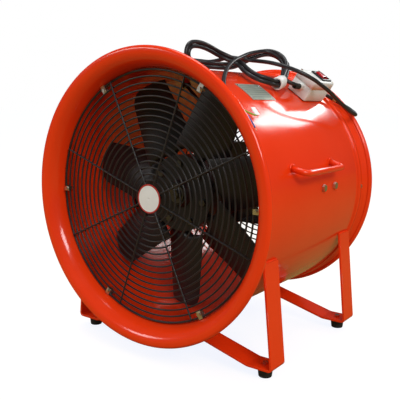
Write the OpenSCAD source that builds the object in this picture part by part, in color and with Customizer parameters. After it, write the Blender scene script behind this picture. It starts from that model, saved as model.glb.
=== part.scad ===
// Portable axial ventilation fan on a flat-bar stand, with its lead lying on the casing.
// Frame: +Z is up and the floor is z = 0. Air flows along +Y, and y = 0 is halfway along the body.
// x = 0 is the plane of the fan's axis. Angles around the axis start at +X and rise towards +Z.

/* [Body] */
// Outer radius of the casing tube
casing_r = 255; // [252:1:258]
// Length of the body, from the inlet bell's front to the outlet lip's back
body_l = 504; // [496:1:512]
// Height of the fan's axis above the floor
axis_h = 327; // [325:1:335]
// Thickness of the casing's sheet
wall = 2; // [1.5:0.5:3]
// Outer radius of the inlet bell's rim
bell_r = 291; // [288:1:294]
// Length of the inlet bell
bell_l = 42; // [38:1:44]
// Outer radius of the outlet lip
lip_r = 269.5; // [267:0.5:271]

/* [Guards] */
// Wires in each guard, counting its outer ring
ring_n = 18; // [14:1:20]
// Radius of the guard's outer ring
guard_r = 248.8; // [246:0.2:249]
// Depth of the front guard's rings behind the bell's front
front_guard_d = 37; // [34:1:40]
// Depth of the rear guard's rings
rear_guard_d = 461; // [458:1:463]
// Radius of the guard's wire
wire_r = 1.8; // [1.5:0.1:2]
// Radius of the badge in the middle of the front guard
badge_r = 29; // [25:1:32]

/* [Impeller] */
// Number of blades
blade_n = 7; // [7:1:7]
// Radius of the blade tips
tip_r = 244; // [236:1:247]
// Depth of the blades' shanks, where the hub's halves meet
hub_d = 148; // [144:1:152]
// Radius of the hub
hub_r = 80; // [74:1:82]
// Angle of the first blade
blade_a = 12.7; // [0:0.1:51]
// Pitch of a blade at its root
root_pitch = 16; // [14:1:22]
// Pitch of a blade at its tip
tip_pitch = 13; // [10:1:16]

/* [Motor] */
// Radius of the motor's shell
motor_r = 64; // [62:1:66]
// Depth of the front of the motor's shell
motor_d = 205; // [200:1:210]
// Length of the motor's shell
motor_l = 160; // [150:1:165]
// Radius of the shaft
shaft_r = 10; // [9:0.5:11]

/* [Stand] */
// Width of the stand's flat bar
bar_w = 50; // [40:1:60]
// Thickness of the stand's flat bar
bar_t = 5; // [4:0.5:6]
// Depth of the middle of the front stand
front_stand_d = 99; // [95:1:105]
// Depth of the middle of the rear stand
rear_stand_d = 424; // [418:1:425]
// Height of the rubber feet
foot_h = 20; // [16:1:22]
// Distance of the rubber feet from the middle
foot_x = 230; // [220:1:230]

/* [Switch box] */
// Width of the switch box
box_w = 50; // [46:1:54]
// Length of the switch box
box_l = 90; // [84:1:96]
// Height of the switch box's base
base_h = 30; // [28:1:32]
// Height of the switch box's lid
lid_h = 18; // [16:1:20]
// Angle of the switch box around the axis
box_a = 53.4; // [50:0.2:58]
// Depth of the switch box's middle
box_d = 380; // [376:1:386]
// How far the rocker is tilted at rest
rocker_tilt = 8; // [6:1:9]

/* [Cord] */
// Diameter of the mains cord and the motor's lead
cord_t = 8.5; // [8:0.5:9]

/* [Hidden] */
$fn = 96;

paint = [0.87, 0.22, 0.1];
black = [0.1, 0.1, 0.11];
zinc = [0.75, 0.75, 0.72];
box_grey = [0.8, 0.79, 0.74];

bore_r = casing_r - wall;
rim_r = 6.5;
lip_rim_r = 7;
lip_d = 474;
bead_d = 456;
bead_w = 6;
screw_d = 467;
outer_wire_r = 2.2;
spoke_gap = 2 * wire_r;
clip_angles = [for (i = [0:5]) 60 * i];
ring_step = 12.5;
bolt_circle = 62;
socket_r = 11;
hub_front_l = 20;
hub_back_l = 18;
cap_l = 15;
bearing_r = 21;
bearing_l = 14;
cradle_z = -68;
cradle_t = 4;
cradle_d = [255, 340];
side_bolt_d = [272, 323];
side_bolt_z = 17;
foot_pad_x = 46;
gland_a = 115.3;
gland_d = 287;
box_lift = 0.8;
box_wall = 2.5;
box_h = base_h + lid_h;
bezel_y = 18;
rocker_z = 1;
handle_r = 6;
handle_out = 30;
handle_d = [150, 313];
handle_a = 11.8;
handle_foot_a = 15.2;
eps = 0.01;

// Depth behind the bell's front, as a place along Y.
function at(d) = d - body_l / 2;
function unit(v) = v / norm(v);

// A frame on the fan's axis, with +Z along the airflow and +Y down.
module on_axis(d) {
  translate([0, at(d), axis_h]) rotate([-90, 0, 0]) children();
}

// Turns the children to an angle around the axis, inside on_axis.
module turned(a) {
  rotate([0, 0, -a]) children();
}

// Points the children's +Z outward at an angle and a depth, starting on the axis.
module radial(d, a) {
  translate([0, at(d), axis_h]) rotate([0, 90 - a, 0]) children();
}

module tube(r_out, r_in, h) {
  difference() {
    cylinder(r = r_out, h = h);
    translate([0, 0, -1]) cylinder(r = r_in, h = h + 2);
  }
}

module ring(r, wire) {
  rotate_extrude($fn = 144) translate([r, 0]) circle(r = wire, $fn = 16);
}

module hexagon(across, h) {
  cylinder(r = across / sqrt(3), h = h, $fn = 6);
}

// Route points of the cords, all in the part's own frame.
start_route = [
  [166, 76, 550], [166, 58, 551], [158, 45, 556], [146, 42, 564], [137, 52, 571], [130, 72, 580]
];
right_loop_route = [
  [10, 52, 596], [22, 72, 606], [42, 95, 620], [66, 112, 626], [90, 118, 618], [110, 110, 603],
  [124, 90, 587], [135, 63, 571], [145, 34, 558], [149, 7, 552], [146, -20, 556],
  [130, -38, 563], [108, -36, 574], [84, -16, 584], [62, 8, 592], [44, 14, 600]
];
left_loop_route = [
  [10, 52, 596], [8, 20, 593], [8, -15, 592.5], [8, -50, 592.5], [8, -80, 592.5],
  [8, -98, 592.5], [9, -111.5, 598], [10, -117, 611.5], [10, -111.5, 625], [10, -98, 631],
  [11, -70, 631.5], [12, -38, 625.5], [16, -10, 616], [28, 6, 608], [44, 14, 600]
];
end_route = [
  [68, 108, 627], [56, 80, 625], [53, 50, 619], [56, 20, 611], [64, -20, 601], [80, -62, 589],
  [98, -100, 577], [120, -140, 561], [143, -175, 545], [163, -196, 529], [180, -203, 514],
  [197, -194, 500]
];
lead_route = [
  [169, 184, 535], [172, 198, 531], [182, 214, 522], [196, 228, 511], [212, 236, 500],
  [226, 232, 491], [235, 214, 488], [234, 190, 495], [229, 162, 508], [225, 134, 522],
  [221, 108, 536], [215, 83, 549], [205, 60, 562], [188, 42, 574], [166, 32, 584],
  [140, 30, 592], [112, 36, 598], [84, 44, 602], [60, 50, 605], [36, 49, 609], [8, 42, 613],
  [-16, 36, 608], [-40, 32, 605], [-66, 33, 608], [-92, 34, 610], [-112, 35, 602],
  [-121, 35, 586], [-117, 35, 574]
];
blue_route = [[197, -192, 500], [208, -192, 489], [217, -190, 476], [223, -188, 465]];
brown_route = [[193, -199, 502], [205, -203, 489], [215, -202, 475], [224, -199, 460]];
green_route = [[199, -191, 500], [204, -182, 495], [207, -171, 492], [209, -162, 490]];

function tangent(p, i) = unit(p[min(i + 1, len(p) - 1)] - p[max(i - 1, 0)]);
function side(p, i) =
  i == 0
    ? unit(cross(tangent(p, 0), [0.3, 0.2, 0.9]))
    : let (v = side(p, i - 1), t = tangent(p, i)) unit(v - (v * t) * t);

// A round tube of one closed surface along a list of points.
module sweep(p, r, n) {
  rings = [
    for (i = [0:len(p) - 1])
      let (t = tangent(p, i), u = side(p, i), v = cross(t, u))
        for (k = [0:n - 1]) p[i] + r * (cos(360 * k / n) * u + sin(360 * k / n) * v)
  ];
  last = (len(p) - 1) * n;
  sides = [
    for (i = [0:len(p) - 2], k = [0:n - 1])
      let (a = i * n + k, b = i * n + (k + 1) % n) each [[a, a + n, b], [b, a + n, b + n]]
  ];
  caps = [[for (k = [0:n - 1]) k], [for (k = [n - 1:-1:0]) last + k]];
  polyhedron(points = rings, faces = concat(caps, sides));
}

module casing_tube() {
  color(paint) difference() {
    on_axis(0) {
      translate([0, 0, bell_l]) tube(casing_r, bore_r, lip_d - bell_l);
      rotate_extrude($fn = 144)
        polygon([for (i = [0:8]) [casing_r - eps + 4.5 * sin(22.5 * i), bead_d - bead_w * cos(22.5 * i)]]);
    }
    for (a = clip_angles) radial(screw_d, a) translate([0, 0, bore_r - 5]) cylinder(r = 2.5, h = 15);
    for (d = side_bolt_d, s = [-1, 1])
      translate([s * (bore_r - 6), at(d), axis_h + side_bolt_z])
        rotate([0, s * 90, 0]) cylinder(r = 4.2, h = 16);
    radial(gland_d, gland_a) translate([0, 0, bore_r - 5]) cylinder(r = 8, h = 15);
  }
}

module inlet_bell() {
  steps = 12;
  mid = bell_r - rim_r - 3.5;
  function curve(a, r) = [mid - (mid - r) * cos(a), bell_l - (bell_l - (r - bore_r)) * sin(a)];
  color(paint) on_axis(0) {
    rotate_extrude($fn = 144)
      polygon(concat(
        [for (i = [0:steps]) curve(90 * i / steps, casing_r)],
        [for (i = [steps:-1:0]) curve(90 * i / steps, bore_r)]
      ));
    rotate_extrude($fn = 144) translate([bell_r - rim_r, rim_r]) circle(r = rim_r, $fn = 24);
  }
}

module outlet_lip() {
  flare = [for (i = [0:8]) [(lip_r - lip_rim_r - casing_r) * (1 - cos(22.5 * i)) / 2, 2.25 * i]];
  color(paint) on_axis(0) {
    rotate_extrude($fn = 144)
      polygon(concat(
        [for (p = flare) [casing_r + p[0], lip_d + p[1]]],
        [for (i = [8:-1:0]) [bore_r + flare[i][0], lip_d + flare[i][1]]]
      ));
    rotate_extrude($fn = 144)
      translate([lip_r - lip_rim_r, body_l - lip_rim_r]) circle(r = lip_rim_r, $fn = 24);
  }
}

module guard_rings(d) {
  color(black) on_axis(d) {
    ring(guard_r, outer_wire_r);
    for (i = [1:ring_n - 1]) ring(guard_r - ring_step * i, wire_r);
  }
}

module guard_spokes(d) {
  color(black) on_axis(d)
    for (i = [0:7]) turned(24.5 + 45 * i) rotate([0, 90, 0]) translate([0, 0, 12])
      cylinder(r = wire_r, h = guard_r - 12, $fn = 16);
}

module front_guard_rings() {
  guard_rings(front_guard_d);
}

module front_guard_spokes() {
  guard_spokes(front_guard_d - spoke_gap);
}

module guard_badge() {
  color("white") on_axis(front_guard_d - spoke_gap - wire_r - 2) cylinder(r = badge_r, h = 2);
}

module front_guard_clips() {
  tab_d = front_guard_d - outer_wire_r - 1.5;
  color(zinc) for (a = clip_angles)
    on_axis(tab_d) turned(a) difference() {
      union() {
        translate([236.5, -5, 0]) cube([15.8, 10, 1.5]);
        translate([251.1, -5, 0]) cube([1.2, 10, 18]);
      }
      translate([guard_r - ring_step / 2, 0, -1]) cylinder(r = 2.6, h = 4, $fn = 32);
    }
}

module front_clip_screws() {
  tab_d = front_guard_d - outer_wire_r - 1.5;
  color(zinc) for (a = clip_angles)
    on_axis(tab_d) turned(a) translate([guard_r - ring_step / 2, 0, 0]) {
      translate([0, 0, -3]) cylinder(r = 3.8, h = 3, $fn = 32);
      translate([0, 0, -eps]) cylinder(r = 2.5, h = 14, $fn = 32);
      translate([0, 0, 8]) hexagon(8, 4);
    }
}

module rear_guard_rings() {
  guard_rings(rear_guard_d);
  color(black) for (a = clip_angles)
    on_axis(rear_guard_d) turned(a) difference() {
      translate([guard_r + 1.6, -7, -2]) cube([1.6, 14, 12]);
      translate([240, 0, screw_d - rear_guard_d]) rotate([0, 90, 0]) cylinder(r = 2.5, h = 20, $fn = 32);
    }
}

module rear_guard_spokes() {
  guard_spokes(rear_guard_d + spoke_gap);
}

module rear_guard_screws() {
  color(zinc) for (a = clip_angles) radial(screw_d, a) {
    translate([0, 0, casing_r]) cylinder(r = 4.5, h = 2.5, $fn = 32);
    translate([0, 0, 244]) cylinder(r = 2.4, h = casing_r - 244 + eps, $fn = 32);
  }
}

// Holes of one hub half: its bore, the seven shank sockets and the bolt holes.
module hub_holes() {
  translate([0, 0, -60]) cylinder(r = shaft_r, h = 120);
  for (i = [0:blade_n - 1]) {
    turned(blade_a + 360 * i / blade_n) rotate([0, 90, 0]) translate([0, 0, 48])
      cylinder(r = socket_r, h = 60);
    turned(blade_a + 360 * (i + 0.5) / blade_n) translate([bolt_circle, 0, -60])
      cylinder(r = 4.1, h = 120, $fn = 32);
  }
}

module hub_front() {
  color(black) on_axis(hub_d) difference() {
    union() {
      translate([0, 0, -hub_front_l]) cylinder(r = hub_r, h = hub_front_l);
      translate([0, 0, -hub_front_l - 10]) cylinder(r1 = 24, r2 = 30, h = 10);
    }
    hub_holes();
    key_slot();
  }
}

module hub_back() {
  color(black) on_axis(hub_d) difference() {
    union() {
      cylinder(r = hub_r, h = hub_back_l);
      translate([0, 0, hub_back_l]) cylinder(r1 = 30, r2 = 24, h = 12);
    }
    hub_holes();
    key_slot();
  }
}

module key_slot() {
  translate([shaft_r - 3, -3, -hub_front_l + 2]) cube([6, 6, hub_front_l + hub_back_l + 4]);
}

// One blade: a twisted, cambered sheet on a round shank, along +X with its middle on the axis of
// the shank. Station s runs from root (0) to tip (1), and q runs from trailing to leading edge.
module blade(i) {
  stations = 10;
  strips = 8;
  root_r = 86;
  function edge(s) = s < 0.1 ? 0.8 + 0.2 * sin(900 * s) : 1;
  function chord(s) = (122 - 34 * s) * edge(s);
  function lead_cut(s) = s > 0.85 ? 14 * pow((s - 0.85) / 0.15, 2) : 0;
  function pitch(s) = root_pitch + (tip_pitch - root_pitch) * s;
  function point(s, q, face) =
    let (
      c = chord(s) - lead_cut(s),
      x = q * c - lead_cut(s) / 2,
      shape = 1 - 4 * q * q,
      up = 0.07 * c * shape + face * (1.0 + 2.6 * sqrt(max(shape, 0)) * (1 - 0.4 * s)),
      across = x * cos(pitch(s)) - up * sin(pitch(s)),
      depth = -x * sin(pitch(s)) - up * cos(pitch(s)),
      r = root_r + (tip_r - root_r) * s
    )
    [sqrt(r * r - across * across), -across, depth];
  ring_n2 = 2 * (strips + 1);
  points = [
    for (j = [0:stations - 1], k = [0:ring_n2 - 1])
      let (s = j / (stations - 1), m = k <= strips ? k : ring_n2 - 1 - k)
        point(s, m / strips - 0.5, k <= strips ? 1 : -1)
  ];
  last = (stations - 1) * ring_n2;
  skin = [
    for (j = [0:stations - 2], k = [0:ring_n2 - 1])
      let (a = j * ring_n2 + k, b = j * ring_n2 + (k + 1) % ring_n2)
        each [[a, b, a + ring_n2], [b, b + ring_n2, a + ring_n2]]
  ];
  ends = [
    for (k = [0:strips - 1])
      let (o = ring_n2 - 1)
        each [
          [k, o - k, k + 1], [k + 1, o - k, o - k - 1],
          [last + k, last + k + 1, last + o - k], [last + k + 1, last + o - k - 1, last + o - k]
        ]
  ];
  color(black) on_axis(hub_d) turned(blade_a + 360 * i / blade_n) {
    polyhedron(points = points, faces = concat(skin, ends));
    rotate([0, 90, 0]) translate([0, 0, 48]) cylinder(r = socket_r, h = 46, $fn = 48);
  }
}

module impeller_bolts() {
  color(zinc) on_axis(107) {
    translate([0, 0, 8]) cylinder(r = 19, h = 3);
    hexagon(19, 8 + eps);
  }
  color(zinc) on_axis(hub_d) for (i = [0:blade_n - 1])
    turned(blade_a + 360 * (i + 0.5) / blade_n) translate([bolt_circle, 0, 0]) {
      translate([0, 0, -hub_front_l - 5.5]) hexagon(13, 5.5);
      translate([0, 0, -hub_front_l - eps]) cylinder(r = 4, h = hub_front_l + hub_back_l + 8, $fn = 32);
      translate([0, 0, hub_back_l]) hexagon(13, 6);
    }
}

module shaft() {
  color(zinc) on_axis(118) difference() {
    cylinder(r = shaft_r, h = 262);
    translate([shaft_r - 3, -3, 12]) cube([6, 6, hub_front_l + hub_back_l + 4]);
  }
}

module shaft_key() {
  color(zinc) on_axis(130) translate([shaft_r - 3, -3, 0]) cube([6, 6, 40]);
}

module motor_shell() {
  color(black) on_axis(motor_d) difference() {
    union() {
      cylinder(r = motor_r, h = motor_l);
      for (s = [-1, 1])
        translate([s * foot_pad_x - 15, 30, 52]) cube([30, -cradle_z - 30, 84]);
      for (i = [0:11]) if (abs(i - 5) > 1) turned(15 + 15 * i) translate([motor_r - 1, -1.5, 6]) cube([5, 3, motor_l - 12]);
    }
    translate([0, 0, -1]) cylinder(r = motor_r - 6, h = motor_l + 2);
    for (d = side_bolt_d, s = [-1, 1])
      translate([s * foot_pad_x, 50, d - motor_d]) rotate([-90, 0, 0]) cylinder(r = 4.1, h = 30);
  }
}

module motor_front_cap() {
  color(black) on_axis(motor_d - cap_l) difference() {
    cylinder(r1 = motor_r - 8, r2 = motor_r, h = cap_l);
    translate([0, 0, 1]) cylinder(r = bearing_r, h = cap_l);
    translate([0, 0, -1]) cylinder(r = shaft_r + 2, h = 3);
  }
}

module motor_rear_cap() {
  color(black) on_axis(motor_d + motor_l) difference() {
    cylinder(r1 = motor_r, r2 = motor_r - 8, h = cap_l + 3);
    translate([0, 0, -1]) cylinder(r = bearing_r, h = cap_l + 1);
  }
}

module stator_core() {
  color("dimgray") on_axis(motor_d + 25) tube(motor_r - 6, 37, 110);
}

module rotor_core() {
  color("silver") on_axis(motor_d + 27) tube(36, shaft_r, 106);
}

module bearings() {
  for (d = [motor_d - bearing_l, motor_d + motor_l])
    color("silver") on_axis(d) tube(bearing_r, shaft_r + 0.05, bearing_l);
}

module motor_cradle() {
  l = cradle_d[1] - cradle_d[0];
  color(black) on_axis(cradle_d[0]) difference() {
    union() {
      intersection() {
        tube(bore_r - 0.1, bore_r - 4.1, l);
        translate([-300, -side_bolt_z - 18, 0]) cube([600, side_bolt_z + 18 - cradle_z + cradle_t, l]);
      }
      translate([-240, -cradle_z, 0]) cube([480, cradle_t, l]);
    }
    for (d = side_bolt_d, s = [-1, 1]) {
      translate([s * 240, -side_bolt_z, d - cradle_d[0]])
        rotate([0, s * 90, 0]) cylinder(r = 4.1, h = 20);
      translate([s * foot_pad_x, 60, d - cradle_d[0]]) rotate([-90, 0, 0]) cylinder(r = 4.1, h = 20);
    }
  }
}

module motor_mount_bolts() {
  color(zinc) for (d = side_bolt_d, s = [-1, 1]) {
    translate([s * casing_r, at(d), axis_h + side_bolt_z]) rotate([0, s * 90, 0]) {
      hexagon(13, 5.5);
      translate([0, 0, -18]) cylinder(r = 4, h = 18, $fn = 32);
      translate([0, 0, -14]) hexagon(13, 6.5);
    }
    translate([s * foot_pad_x, at(d), axis_h + cradle_z]) {
      translate([0, 0, -cradle_t - 5.5]) hexagon(13, 5.5);
      translate([0, 0, -cradle_t - eps]) cylinder(r = 4, h = 15, $fn = 32);
    }
  }
}

module terminal_box() {
  color(black) translate([-34, at(265), axis_h + motor_r + 3]) difference() {
    cube([68, 65, 32]);
    translate([3, 3, 3]) cube([62, 59, 26]);
    translate([20, at(gland_d) - at(265), 28]) cylinder(r = cord_t / 2 + 0.1, h = 6, $fn = 32);
  }
  color(black) difference() {
    translate([-12, at(280), axis_h + 60]) cube([24, 35, motor_r - 57]);
    on_axis(270) cylinder(r = motor_r, h = 60);
  }
}

module inner_lead() {
  top = [-cos(180 - gland_a) * 248, at(gland_d), axis_h + sin(gland_a) * 248];
  mid = [-14, at(gland_d), axis_h + 150];
  low = [-14, at(gland_d), axis_h + motor_r + 31];
  color(black) sweep([top, (top + mid) / 2 + [-6, 0, 0], mid + [-4, 0, 12], low], cord_t / 2 - 0.25, 8);
}

module tube_gland() {
  color(black) radial(gland_d, gland_a) difference() {
    union() {
      translate([0, 0, 248]) cylinder(r = 7.9, h = 12);
      translate([0, 0, 246]) hexagon(20, 6);
      translate([0, 0, casing_r + 0.2]) hexagon(20, 8);
      translate([0, 0, casing_r + 8]) cylinder(r1 = 9, r2 = 6.5, h = 10);
    }
    translate([0, 0, 240]) cylinder(r = cord_t / 2, h = 50);
  }
}

module nameplate() {
  color([0.62, 0.66, 0.58]) on_axis(138) intersection() {
    tube(casing_r + 1.2, casing_r + 0.1, 84);
    turned(54.5) translate([200, -26, 0]) cube([80, 52, 84]);
  }
}

module nameplate_rivets() {
  color(zinc) for (d = [142, 218], a = [49.9, 59.1])
    radial(d, a) translate([0, 0, casing_r + 1.2]) cylinder(r1 = 2.2, r2 = 1.5, h = 1, $fn = 24);
}

// A frame on the switch box: +X downhill, +Y along the body, +Z out of the casing.
module on_box() {
  radial(box_d, box_a) translate([0, 0, casing_r + box_lift]) children();
}

module plate(w, l, h) {
  translate([-w / 2, -l / 2, 0]) cube([w, l, h]);
}

module switch_box() {
  color(box_grey) on_box() difference() {
    plate(box_w, box_l, base_h);
    translate([0, 0, 3]) plate(box_w - 2 * box_wall, box_l - 2 * box_wall, base_h);
    for (g = gland_places) translate([g[0], -60, g[1]]) rotate([-90, 0, 0])
      translate([0, 0, g[2] > 0 ? 60 : 0]) cylinder(r = 6.5, h = 60, $fn = 32);
  }
}

module switch_box_lid() {
  color(box_grey) on_box() translate([0, 0, base_h]) difference() {
    plate(box_w + 1.5, box_l + 1.5, lid_h);
    translate([0, 0, -1]) plate(box_w - 2 * box_wall, box_l - 2 * box_wall, lid_h - box_wall + 1);
    translate([0, bezel_y, lid_h - 5]) plate(22, 30, 10);
    for (x = [-21, 21], y = [-40.5, 40.5]) translate([x, y, -1]) cylinder(r = 1.6, h = 40, $fn = 24);
  }
}

module switch_box_gasket() {
  color(black) intersection() {
    on_box() translate([0, 0, -3]) plate(box_w - 4, box_l - 4, 3);
    on_axis(box_d - box_l) tube(casing_r + 4, casing_r + 0.3, 2 * box_l);
  }
}

module lid_screws() {
  color(zinc) on_box() for (x = [-21, 21], y = [-40.5, 40.5]) translate([x, y, box_h]) {
    cylinder(r = 2.8, h = 1.5, $fn = 24);
    translate([0, 0, -10]) cylinder(r = 1.5, h = 10 + eps, $fn = 24);
  }
}

module switch_body() {
  color(black) on_box() translate([0, bezel_y, box_h]) {
    difference() {
      plate(36, 44, 3);
      translate([0, 0, -1]) plate(21.8, 29.8, 10);
    }
    difference() {
      translate([0, 0, -30]) plate(21.9, 29.9, 30 + eps);
      translate([0, 0, -6]) plate(20.4, 28.4, 20);
    }
    translate([-11, 0, rocker_z]) rotate([0, 90, 0]) cylinder(r = 1.5, h = 22, $fn = 32);
  }
}

module rocker() {
  color([0.8, 0.08, 0.1]) on_box() translate([0, bezel_y, box_h + rocker_z]) rotate([-rocker_tilt, 0, 0])
    difference() {
      rotate([90, 0, 90]) translate([0, 0, -10])
        linear_extrude(20) polygon([[-13.5, -3], [13.5, -3], [13.5, 3.5], [0, 5.5], [-13.5, 3.5]]);
      translate([-20, 0, 0]) rotate([0, 90, 0]) cylinder(r = 1.55, h = 40, $fn = 32);
    }
}

// Place across and up the box's ends, and the end that each gland is on.
gland_places = [[0, 20, -1], [12, 12, 1]];

module cable_glands() {
  color(box_grey) on_box() for (g = gland_places)
    translate([g[0], g[2] * box_l / 2, g[1]]) rotate([-90 * g[2], 0, 0]) difference() {
      union() {
        cylinder(r = 9, h = 3);
        cylinder(r = 7, h = 9);
        translate([0, 0, -6]) cylinder(r = 6.4, h = 7);
      }
      translate([0, 0, -10]) cylinder(r = cord_t / 2, h = 30, $fn = 32);
    }
}

module strain_relief() {
  g = gland_places[0];
  color(black) on_box() translate([g[0], -box_l / 2 - 9, g[1]]) rotate([90, 0, 0]) difference() {
    cylinder(r1 = 6.4, r2 = 5, h = 20);
    translate([0, 0, -1]) cylinder(r = cord_t / 2, h = 30, $fn = 32);
  }
}

module lead_ferrule() {
  p = lead_route[2];
  d = unit(lead_route[3] - lead_route[1]);
  color("silver") translate(p) rotate([0, acos(d[2]), atan2(d[1], d[0])])
    translate([0, 0, -5]) tube(cord_t / 2 + 1.6, cord_t / 2, 10);
}

module mains_cord_start() {
  color(black) sweep(start_route, cord_t / 2, 8);
}

module cord_left_loop() {
  color(black) sweep(left_loop_route, 9.5, 8);
}

module cord_right_loop() {
  color(black) sweep(right_loop_route, 10, 8);
}

module mains_cord_end() {
  color(black) sweep(end_route, cord_t / 2, 8);
}

module mains_cores() {
  color("royalblue") sweep(blue_route, 1.6, 8);
  color("saddlebrown") sweep(brown_route, 1.6, 8);
  color("yellowgreen") sweep(green_route, 1.6, 8);
}

module cord_tag() {
  color("white") radial(98, 40.5) translate([-10, -7.5, casing_r + 6]) cube([18, 15, 0.8]);
}

module cord_wrap() {
  a = right_loop_route[8];
  b = right_loop_route[9];
  d = unit(b - a);
  color("white") translate((a + b) / 2) rotate([0, acos(d[2]), atan2(d[1], d[0])])
    translate([0, 0, -15]) tube(14, 10.2, 30);
}

module motor_lead() {
  color(black) sweep(lead_route, cord_t / 2, 8);
}

// A bar handle: a straight round bar with both ends bent in to the casing.
module side_handle(s) {
  bend = 14;
  out = casing_r + handle_out;
  function spot(k, r, a) = [s * r * cos(a), at(handle_d[k]), axis_h + r * sin(a)];
  front = spot(0, out, handle_a);
  back = spot(1, out, handle_a);
  dir = unit(back - front);
  color(paint) {
    translate(front + bend * dir) rotate([0, acos(dir[2]), atan2(dir[1], dir[0])])
      cylinder(r = handle_r, h = norm(back - front) - 2 * bend, $fn = 32);
    for (k = [0, 1]) {
      tip = k == 0 ? front : back;
      foot = spot(k, casing_r, handle_foot_a);
      n = unit(tip - foot);
      along = k == 0 ? dir : -dir;
      sweep([for (t = [0:15:90]) tip + bend * ((1 - sin(t)) * along - (1 - cos(t)) * n)], handle_r, 16);
      difference() {
        translate(foot - 5 * n) rotate([0, acos(n[2]), atan2(n[1], n[0])])
          cylinder(r = handle_r, h = norm(tip - foot) - bend + 5, $fn = 32);
        on_axis(handle_d[k] - 20) cylinder(r = casing_r - 0.2, h = 40);
      }
    }
  }
}

module side_handle_right() {
  side_handle(1);
}

module side_handle_left() {
  side_handle(-1);
}

// Middle line of half of a stand's bar, from under the casing to the top of the leg.
bar_z = foot_h + bar_t / 2;
leg_top = [sqrt(pow(casing_r, 2) - pow(axis_h - 224, 2)) + bar_t / 2 + 0.3, 224];
half_bar = [
  [0, axis_h - casing_r - bar_t / 2], [14, axis_h - casing_r - bar_t / 2], [22, axis_h - casing_r - bar_t / 2 - 1],
  [199, bar_z + 1.5], [207, bar_z], [251, bar_z], [255, bar_z + 1.5], [256, bar_z + 5], leg_top
];

// The outline of a bar of even thickness along a line of points.
function offset_side(p, w) = [
  for (i = [0:len(p) - 1])
    let (t = tangent(p, i)) p[i] + w * [-t[1], t[0]]
];

module stand(d) {
  path = concat([for (i = [len(half_bar) - 1:-1:1]) [-half_bar[i][0], half_bar[i][1]]], half_bar);
  left = offset_side(path, bar_t / 2);
  right = offset_side(path, -bar_t / 2);
  color(paint) difference() {
    translate([0, at(d) + bar_w / 2, 0]) rotate([90, 0, 0])
      linear_extrude(bar_w) polygon(concat(left, [for (i = [len(right) - 1:-1:0]) right[i]]));
    for (s = [-1, 1]) translate([s * foot_x, at(d), 0]) cylinder(r = 3.1, h = 60, $fn = 32);
  }
}

module front_stand() {
  stand(front_stand_d);
}

module rear_stand() {
  stand(rear_stand_d);
}

module rubber_feet() {
  color([0.08, 0.08, 0.08]) for (d = [front_stand_d, rear_stand_d], s = [-1, 1])
    translate([s * foot_x, at(d), 0]) difference() {
      cylinder(r1 = 13, r2 = 15, h = foot_h);
      translate([0, 0, 6]) cylinder(r = 3, h = 30, $fn = 32);
    }
}

module foot_bolts() {
  color(zinc) for (d = [front_stand_d, rear_stand_d], s = [-1, 1])
    translate([s * foot_x, at(d), 0]) {
      translate([0, 0, 6]) cylinder(r = 3, h = foot_h + bar_t - 6 + eps, $fn = 32);
      translate([0, 0, foot_h + bar_t]) hexagon(10, 4);
    }
}

module stand_welds() {
  color(paint) for (d = [front_stand_d, rear_stand_d], s = [-1, 1])
    translate([s * (leg_top[0] - 0.5), at(d) + bar_w / 2 - 1, leg_top[1] + 1]) rotate([90, 0, 0])
      cylinder(r = 2.6, h = bar_w - 2, $fn = 24);
}

casing_tube();
inlet_bell();
outlet_lip();
front_guard_rings();
front_guard_spokes();
guard_badge();
front_guard_clips();
front_clip_screws();
rear_guard_rings();
rear_guard_spokes();
rear_guard_screws();
hub_front();
hub_back();
blade(0);  // blade_1
blade(1);  // blade_2
blade(2);  // blade_3
blade(3);  // blade_4
blade(4);  // blade_5
blade(5);  // blade_6
blade(6);  // blade_7
impeller_bolts();
shaft();
shaft_key();
motor_shell();
motor_front_cap();
motor_rear_cap();
stator_core();
rotor_core();
bearings();
motor_cradle();
motor_mount_bolts();
terminal_box();
inner_lead();
tube_gland();
nameplate();
nameplate_rivets();
switch_box();
switch_box_lid();
switch_box_gasket();
lid_screws();
switch_body();
rocker();
cable_glands();
strain_relief();
lead_ferrule();
mains_cord_start();
cord_left_loop();
cord_right_loop();
mains_cord_end();
mains_cores();
cord_tag();
cord_wrap();
motor_lead();
side_handle_right();
side_handle_left();
front_stand();
rear_stand();
rubber_feet();
foot_bolts();
stand_welds();
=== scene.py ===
import math

import bmesh
import bpy
import numpy as np
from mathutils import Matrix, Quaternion, Vector


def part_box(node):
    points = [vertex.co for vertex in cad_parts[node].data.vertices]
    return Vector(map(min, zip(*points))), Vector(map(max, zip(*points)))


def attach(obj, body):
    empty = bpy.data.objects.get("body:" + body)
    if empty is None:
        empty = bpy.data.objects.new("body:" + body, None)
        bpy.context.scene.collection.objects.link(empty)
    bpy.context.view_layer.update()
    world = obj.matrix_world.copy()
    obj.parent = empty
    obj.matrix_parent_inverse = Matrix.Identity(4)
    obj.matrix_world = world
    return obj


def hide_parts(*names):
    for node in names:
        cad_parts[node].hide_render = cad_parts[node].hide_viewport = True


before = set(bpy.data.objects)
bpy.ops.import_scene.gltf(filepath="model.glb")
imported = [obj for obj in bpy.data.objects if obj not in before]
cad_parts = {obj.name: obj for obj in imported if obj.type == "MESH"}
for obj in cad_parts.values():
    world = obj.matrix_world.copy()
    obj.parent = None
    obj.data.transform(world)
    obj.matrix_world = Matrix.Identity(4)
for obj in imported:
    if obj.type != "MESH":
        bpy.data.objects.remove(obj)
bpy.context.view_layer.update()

# The camera stands in front of the fan, to the right of its axis and a little above it. Its place
# and its turn are in the part's own frame.
camera = bpy.data.objects.new("camera", bpy.data.cameras.new("camera"))
bpy.context.collection.objects.link(camera)
camera.data.lens = 54.16
camera.data.sensor_width = 36
camera_turn = math.radians(36.84)
camera_tilt = math.radians(9.02)
level = math.cos(camera_tilt)
looking = Vector(
    (-math.sin(camera_turn) * level, math.cos(camera_turn) * level, -math.sin(camera_tilt))
)
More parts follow.
